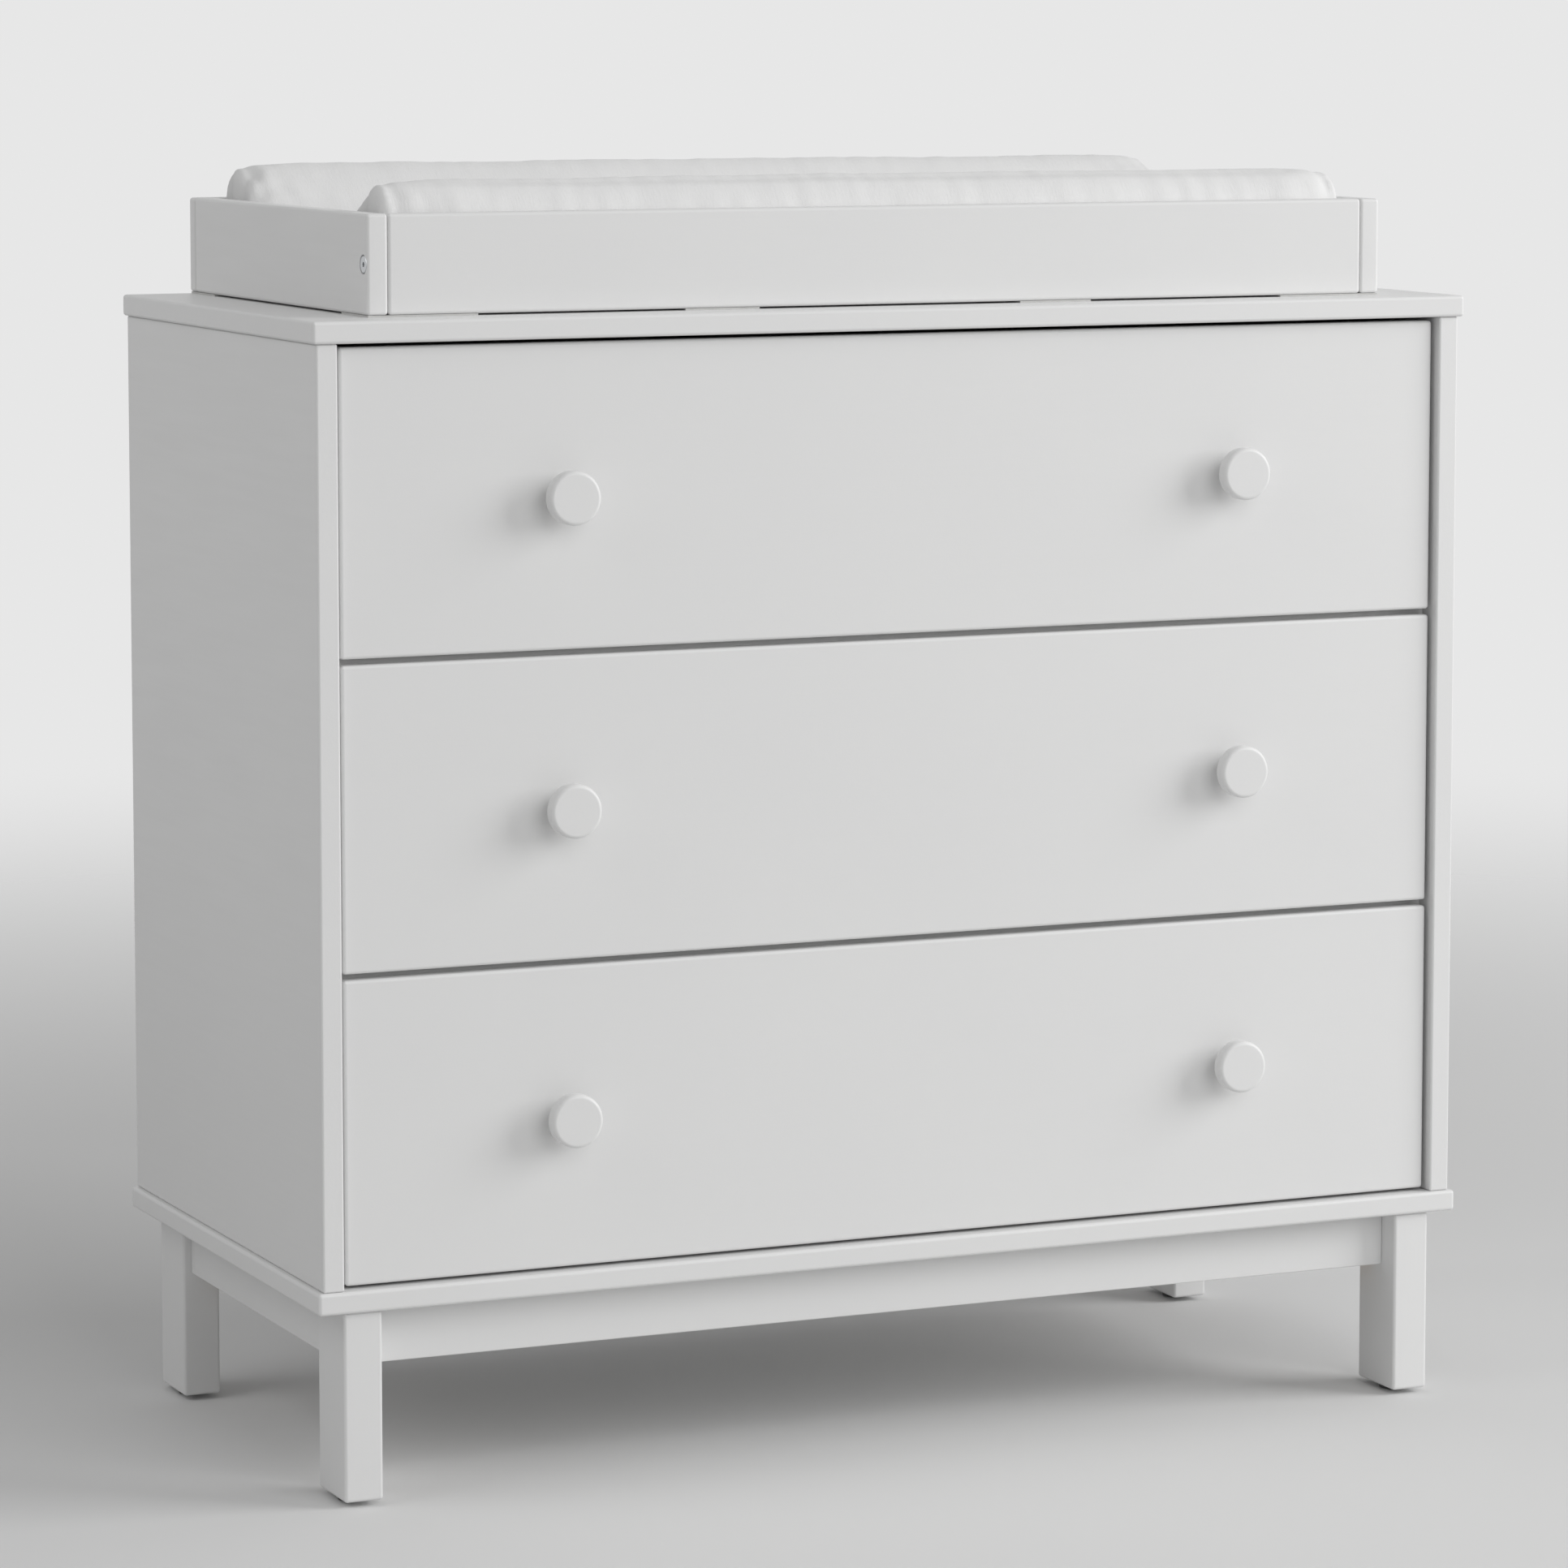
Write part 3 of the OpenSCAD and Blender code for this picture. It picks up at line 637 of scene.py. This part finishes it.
def foam_block():
    """The foam: its outline across the pad, drawn out along the pad and rounded at both ends."""
    low = pad_low + Vector((pad_start, pad_start, underside_gap))
    high = pad_high - Vector((pad_start, pad_start, pad_start))
    width, height = high.y - low.y, high.z - low.z
    near = [crest_in * (1 - math.cos(math.pi / 2 * k / crest_steps)) for k in range(crest_steps + 1)]
    slope = [crest_in + (side_width - crest_in) * k / slope_steps for k in range(1, slope_steps + 1)]
    ins = near + slope
    outline = [(0.0, 0.0)] + [(d, pad_height(d) * height) for d in ins]
    outline += [(width - d, pad_height(d) * (height + rear_lift)) for d in reversed(ins)] + [(width, 0.0)]
    bm = bmesh.new()
    face = bm.faces.new([bm.verts.new((low.x, low.y + y, low.z + z)) for y, z in outline])
    middle = Matrix.Translation((0, -(low.y + high.y) / 2, -low.z))
    ends = [end_round * (1 - math.cos(math.pi / 2 * k / end_steps)) for k in range(end_steps + 1)]
    stations = ends + [high.x - low.x - d for d in reversed(ends)]

    def share(d):
        return math.sqrt(max(0.0, 1 - (1 - min(d, end_round) / end_round) ** 2))

    def scales(station):
        d = min(station, high.x - low.x - station)
        return 1 - 2 * corner_in / width * (1 - share(d)), 1 - (1 - end_height_share) * (1 - share(d))

    across, up = scales(stations[0])
    bmesh.ops.scale(bm, vec=(1, across, up), space=middle, verts=face.verts)
    for last, station in zip(stations, stations[1:]):
        old_across, old_up = scales(last)
        across, up = scales(station)
        grown = bmesh.ops.extrude_face_region(bm, geom=[face])["geom"]
        face = next(g for g in grown if isinstance(g, bmesh.types.BMFace))
        bmesh.ops.translate(bm, vec=(station - last, 0, 0), verts=face.verts)
        bmesh.ops.scale(bm, vec=(1, across / old_across, up / old_up), space=middle, verts=face.verts)
    inner = [f for f in bm.faces if all(len(e.link_faces) > 2 for e in f.edges)]
    bmesh.ops.delete(bm, geom=inner, context="FACES_ONLY")
    bmesh.ops.recalc_face_normals(bm, faces=bm.faces)
    return bm


def settle(piece):
    """Applies the piece's modifiers to its mesh."""
    graph = bpy.context.evaluated_depsgraph_get()
    mesh = bpy.data.meshes.new_from_object(piece.evaluated_get(graph))
    piece.modifiers.clear()
    piece.data = mesh


bm = foam_block()
cover_mesh = bpy.data.meshes.new("changing_pad_cover")
bm.to_mesh(cover_mesh)
bm.free()
cover = bpy.data.objects.new("changing_pad_cover", cover_mesh)
bpy.context.collection.objects.link(cover)
remesh = cover.modifiers.new("remesh", "REMESH")
remesh.mode = "VOXEL"
remesh.voxel_size = voxel
settle(cover)
foam_places = [v.co.copy() for v in cover.data.vertices]
cloth = cover.modifiers.new("cloth", "CLOTH")
cloth.settings.use_pressure = True
cloth.settings.uniform_pressure_force = cloth_pressure
cloth.settings.effector_weights.gravity = 0
cloth.settings.quality = cloth_quality
cloth.point_cache.frame_start = 1
cloth.point_cache.frame_end = cloth_frames
for step in range(1, cloth_frames + 1):
    bpy.context.scene.frame_set(step)
settle(cover)
bpy.context.scene.frame_set(1)

# The knitted cover lies on the swollen foam: gathers at the ends, soft ripples down the sides,
# and a seam round each end, all kept inside the tray.
ripple_depth = 0.0011
broad_depth = 0.0016
gather_depth = 0.0030
fold_depth = 0.0026
seam_depth = 0.0022
seam_width = 0.004
seam_in = 0.014
end_reach = 0.05
end_firmness = 0.5
crown_allowance = 0.007
floor_clearance = 0.0002
ripple_density = (75, 22, 9)
broad_density = (9, 14, 14)
gather_density = (60, 60, 10)
fold_density = (42, 42, 12)
fold_shift = 5
fold_width = 0.3
flat_ripple = 0.3


def waves(place, density, shift=0):
    """Smooth noise at a place, with so many waves per metre along each axis."""
    x, y, z = density
    return noise.noise(Vector((place.x * x, place.y * y, place.z * z + shift)))


normals = [v.normal.copy() for v in cover.data.vertices]
for vertex, start, normal in zip(cover.data.vertices, foam_places, normals):
    from_end = min(start.x - pad_low.x, pad_high.x - start.x)
    near_end = math.exp(-((from_end / end_reach) ** 2))
    move = (vertex.co - start) * (1 - end_firmness * near_end)
    if move.length > swell_limit:
        move = move.normalized() * swell_limit
    place = start + move
    upright = min(1.0, abs(normal.y) + abs(normal.x))
    ripple = waves(place, ripple_density)
    broad = waves(place, broad_density)
    gather = waves(place, gather_density)
    fold = max(0.0, fold_width - abs(waves(place, fold_density, fold_shift))) / fold_width
    lift = ripple_depth * ripple * (flat_ripple + upright) + broad_depth * broad
    lift += (gather_depth * gather - fold_depth * fold) * near_end * upright
    lift -= seam_depth * math.exp(-(((from_end - seam_in) / seam_width) ** 2))
    vertex.co = place + normal * lift
    vertex.co.x = min(max(vertex.co.x, pad_low.x), pad_high.x)
    vertex.co.y = min(max(vertex.co.y, pad_low.y), pad_high.y)
    vertex.co.z = min(max(vertex.co.z, pad_low.z + floor_clearance), pad_high.z + crown_allowance)

fleece_white = (0.85, 0.85, 0.845, 1)
fleece_shade = (0.79, 0.79, 0.79, 1)
fleece_roughness = (0.88, 0.98)
fleece_specular = 0.2
fleece_sheen = 0.25
fleece_sheen_roughness = 0.6
fleece_patches = 22.0
knit_scale = 620.0
knit_stretch = (1, 6, 6)
knit_depth = 0.00022
pile_scale = 1600.0
pile_depth = 0.00018


def fleece(name):
    """Brushed knit: fine ribs along the pad's width under a short soft pile."""
    material, tree, shader, place = new_material(name)
    ribs = stretched_noise(tree, place, knit_scale, stretch=knit_stretch, detail=2.0)
    pile = stretched_noise(tree, place, pile_scale, detail=4.0)
    patches = stretched_noise(tree, place, fleece_patches, detail=4.0)
    tree.links.new(blend_colours(tree, patches, fleece_shade, fleece_white), shader.inputs["Base Color"])
    tree.links.new(spread(tree, pile, *fleece_roughness), shader.inputs["Roughness"])
    add_bump(tree, shader, ribs, knit_depth)
    add_bump(tree, shader, pile, pile_depth)
    shader.inputs["Sheen Weight"].default_value = fleece_sheen
    shader.inputs["Sheen Roughness"].default_value = fleece_sheen_roughness
    shader.inputs["Specular IOR Level"].default_value = fleece_specular
    return material


cover.data.materials.clear()
cover.data.materials.append(fleece("white knitted fleece"))
for face in cover.data.polygons:
    face.use_smooth = True
finer = cover.modifiers.new("finer", "SUBSURF")
finer.levels = 1
finer.render_levels = 1
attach(cover, "pad")
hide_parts("changing_pad")

# ---- Studio ----
# A plain pale floor that fades into an even pale surrounding, a broad soft light from the right and
# above, and weaker ones from the front and the left.
floor_colour = (0.78, 0.78, 0.775, 1)
floor_tint = (0.75, 0.75, 0.75, 1)
surround = (0.80, 0.80, 0.80, 1)
floor_reach = 8.0
fade_start = 1.0
fade_end = 4.5
floor_gap = 0.0005
floor_clouds = 0.8
floor_roughness = 0.9
floor_specular = 0.1
fill_strength = 0.29
seen_strength = 1.0
aim_point = Vector((0, 0, 0.55))
bm = bmesh.new()
bmesh.ops.create_grid(bm, x_segments=1, y_segments=1, size=floor_reach)
bmesh.ops.translate(bm, vec=(0, 0, -floor_gap), verts=bm.verts)
floor_mesh = bpy.data.meshes.new("floor")
bm.to_mesh(floor_mesh)
bm.free()
floor = bpy.data.objects.new("floor", floor_mesh)
bpy.context.collection.objects.link(floor)
floor_material, tree, shader, place = new_material("pale floor")
tree.links.new(blend_colours(tree, stretched_noise(tree, place, floor_clouds), floor_tint, floor_colour),
               shader.inputs["Base Color"])
shader.inputs["Roughness"].default_value = floor_roughness
shader.inputs["Specular IOR Level"].default_value = floor_specular
distance = tree.nodes.new("ShaderNodeVectorMath")
distance.operation = "LENGTH"
tree.links.new(place, distance.inputs[0])
fade = tree.nodes.new("ShaderNodeMapRange")
fade.interpolation_type = "SMOOTHSTEP"
fade.inputs["From Min"].default_value = fade_start
fade.inputs["From Max"].default_value = fade_end
tree.links.new(distance.outputs["Value"], fade.inputs["Value"])
clear = tree.nodes.new("ShaderNodeMixShader")
tree.links.new(fade.outputs["Result"], clear.inputs[0])
tree.links.new(shader.outputs[0], clear.inputs[1])
tree.links.new(tree.nodes.new("ShaderNodeBsdfTransparent").outputs[0], clear.inputs[2])
tree.links.new(clear.outputs[0], tree.nodes["Material Output"].inputs["Surface"])
floor.data.materials.append(floor_material)


def softbox(name, place, size, power):
    """A square soft light that faces the dresser."""
    lamp = bpy.data.lights.new(name, "AREA")
    lamp.size = size
    lamp.energy = power
    holder = bpy.data.objects.new(name, lamp)
    bpy.context.collection.objects.link(holder)
    holder.location = place
    aim = aim_point - Vector(place)
    holder.rotation_euler = aim.to_track_quat("-Z", "Y").to_euler()


softbox("key light", place=(4.4, -2.5, 2.5), size=3.2, power=178)
softbox("front light", place=(0.6, -5.4, 3.4), size=4.0, power=80)
softbox("left light", place=(-3.8, -0.2, 3.4), size=3.0, power=36)

world = bpy.data.worlds.new("surroundings")
bpy.context.scene.world = world
world.use_nodes = True
tree = world.node_tree
background = tree.nodes["Background"]
background.inputs["Color"].default_value = (1, 1, 1, 1)
background.inputs["Strength"].default_value = fill_strength
seen = tree.nodes.new("ShaderNodeBackground")
seen.inputs["Color"].default_value = surround
seen.inputs["Strength"].default_value = seen_strength
rays = tree.nodes.new("ShaderNodeLightPath")
either = tree.nodes.new("ShaderNodeMath")
either.operation = "MAXIMUM"
tree.links.new(rays.outputs["Is Camera Ray"], either.inputs[0])
tree.links.new(rays.outputs["Is Glossy Ray"], either.inputs[1])
choice = tree.nodes.new("ShaderNodeMixShader")
tree.links.new(either.outputs[0], choice.inputs[0])
tree.links.new(background.outputs[0], choice.inputs[1])
tree.links.new(seen.outputs[0], choice.inputs[2])
tree.links.new(choice.outputs[0], tree.nodes["World Output"].inputs["Surface"])
bpy.context.scene.view_settings.view_transform = "Standard"
